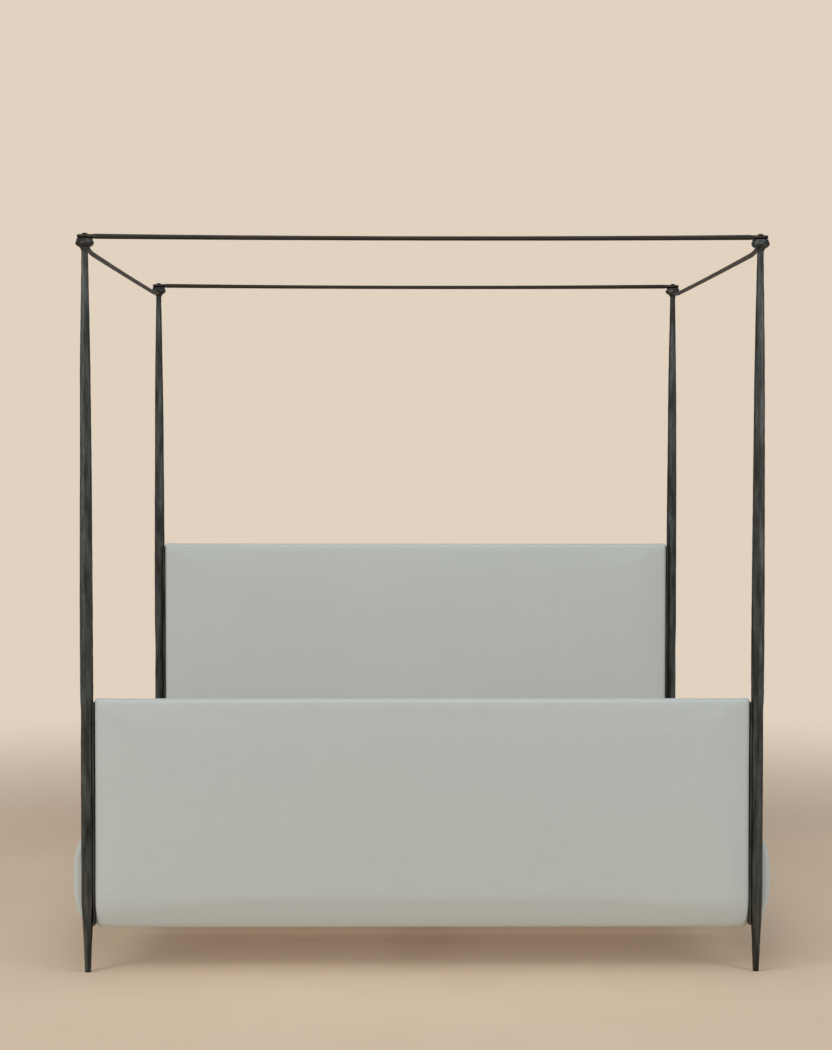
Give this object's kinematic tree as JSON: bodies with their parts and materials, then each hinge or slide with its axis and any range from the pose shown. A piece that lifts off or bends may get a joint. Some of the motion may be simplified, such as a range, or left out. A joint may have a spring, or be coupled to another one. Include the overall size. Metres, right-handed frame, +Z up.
{
  "type": "four poster canopy bed",
  "caption": "Four poster bed with forged iron posts, an open iron canopy frame, padded linen headboard, footboard and side rails, and a slatted base.",
  "frame": {"origin": "on the floor, midway between the four posts", "axes": "+Z up, +Y towards the head of the bed, +X to the right as seen from the foot"},
  "size_m": [2.178, 2.198, 2.29],
  "materials": {
    "forged_iron": "matte",
    "black_steel": "matte",
    "zinc_steel": "satin",
    "linen": "matte",
    "plywood": "matte",
    "pine": "matte",
    "nylon": "matte"
  },
  "bodies": {
    "bed": {"post_foot_left": "forged_iron", "post_foot_right": "forged_iron", "post_head_left": "forged_iron", "post_head_right": "forged_iron", "collar_foot_left": "forged_iron", "collar_foot_right": "forged_iron", "collar_head_left": "forged_iron", "collar_head_right": "forged_iron", "finial_bolt_foot_left": "forged_iron", "finial_bolt_foot_right": "forged_iron", "finial_bolt_head_left": "forged_iron", "finial_bolt_head_right": "forged_iron", "canopy_rail_foot": "forged_iron", "canopy_rail_head": "forged_iron", "canopy_rail_left": "forged_iron", "canopy_rail_right": "forged_iron", "foot_glide_foot_left": "nylon", "foot_glide_foot_right": "nylon", "foot_glide_head_left": "nylon", "foot_glide_head_right": "nylon", "mounting_bar_foot_left": "black_steel", "mounting_bar_foot_right": "black_steel", "mounting_bar_head_left": "black_steel", "mounting_bar_head_right": "black_steel", "rail_bracket_foot_left": "black_steel", "rail_bracket_foot_right": "black_steel", "rail_bracket_head_left": "black_steel", "rail_bracket_head_right": "black_steel", "beam_hanger_foot": "black_steel", "beam_hanger_head": "black_steel", "centre_leg_foot": "black_steel", "centre_leg_head": "black_steel", "slat_ledge_left": "black_steel", "slat_ledge_right": "black_steel", "footboard_cover": "linen", "headboard_cover": "linen", "footboard_inner_panel": "linen", "headboard_back_panel": "linen", "side_rail_cover_left": "linen", "side_rail_cover_right": "linen", "footboard_core": "plywood", "headboard_core": "plywood", "side_rail_core_left": "plywood", "side_rail_core_right": "plywood", "centre_beam": "pine", "slat_01": "pine", "slat_02": "pine", "slat_03": "pine", "slat_04": "pine", "slat_05": "pine", "slat_06": "pine", "slat_07": "pine", "slat_08": "pine", "slat_09": "pine", "slat_10": "pine", "slat_11": "pine"},
    "foot_pad": {"leveller_pad_foot": "nylon"},
    "head_pad": {"leveller_pad_head": "nylon"},
    "foot_stem": {"leveller_stem_foot": "zinc_steel"},
    "head_stem": {"leveller_stem_head": "zinc_steel"}
  },
  "joints": [
    {"name": "leveller_foot_lift", "type": "slide", "parent": "bed", "child": "foot_pad", "axis": [0, 0, 1], "range_m": [-0.009, 0.009]},
    {"name": "leveller_foot_turn", "type": "hinge", "parent": "foot_pad", "child": "foot_stem", "pos_m": [0, -0.36, 0.03], "axis": [0, 0, 1], "range_deg": [-2170, 2170]},
    {"name": "leveller_head_lift", "type": "slide", "parent": "bed", "child": "head_pad", "axis": [0, 0, 1], "range_m": [-0.009, 0.009]},
    {"name": "leveller_head_turn", "type": "hinge", "parent": "head_pad", "child": "head_stem", "pos_m": [0, 0.36, 0.03], "axis": [0, 0, 1], "range_deg": [-2170, 2170]}
  ],
  "couplings": [
    {"joint": "leveller_foot_turn", "follows": "leveller_foot_lift", "rad_per_m": 4188.8},
    {"joint": "leveller_head_turn", "follows": "leveller_head_lift", "rad_per_m": 4188.8}
  ]
}
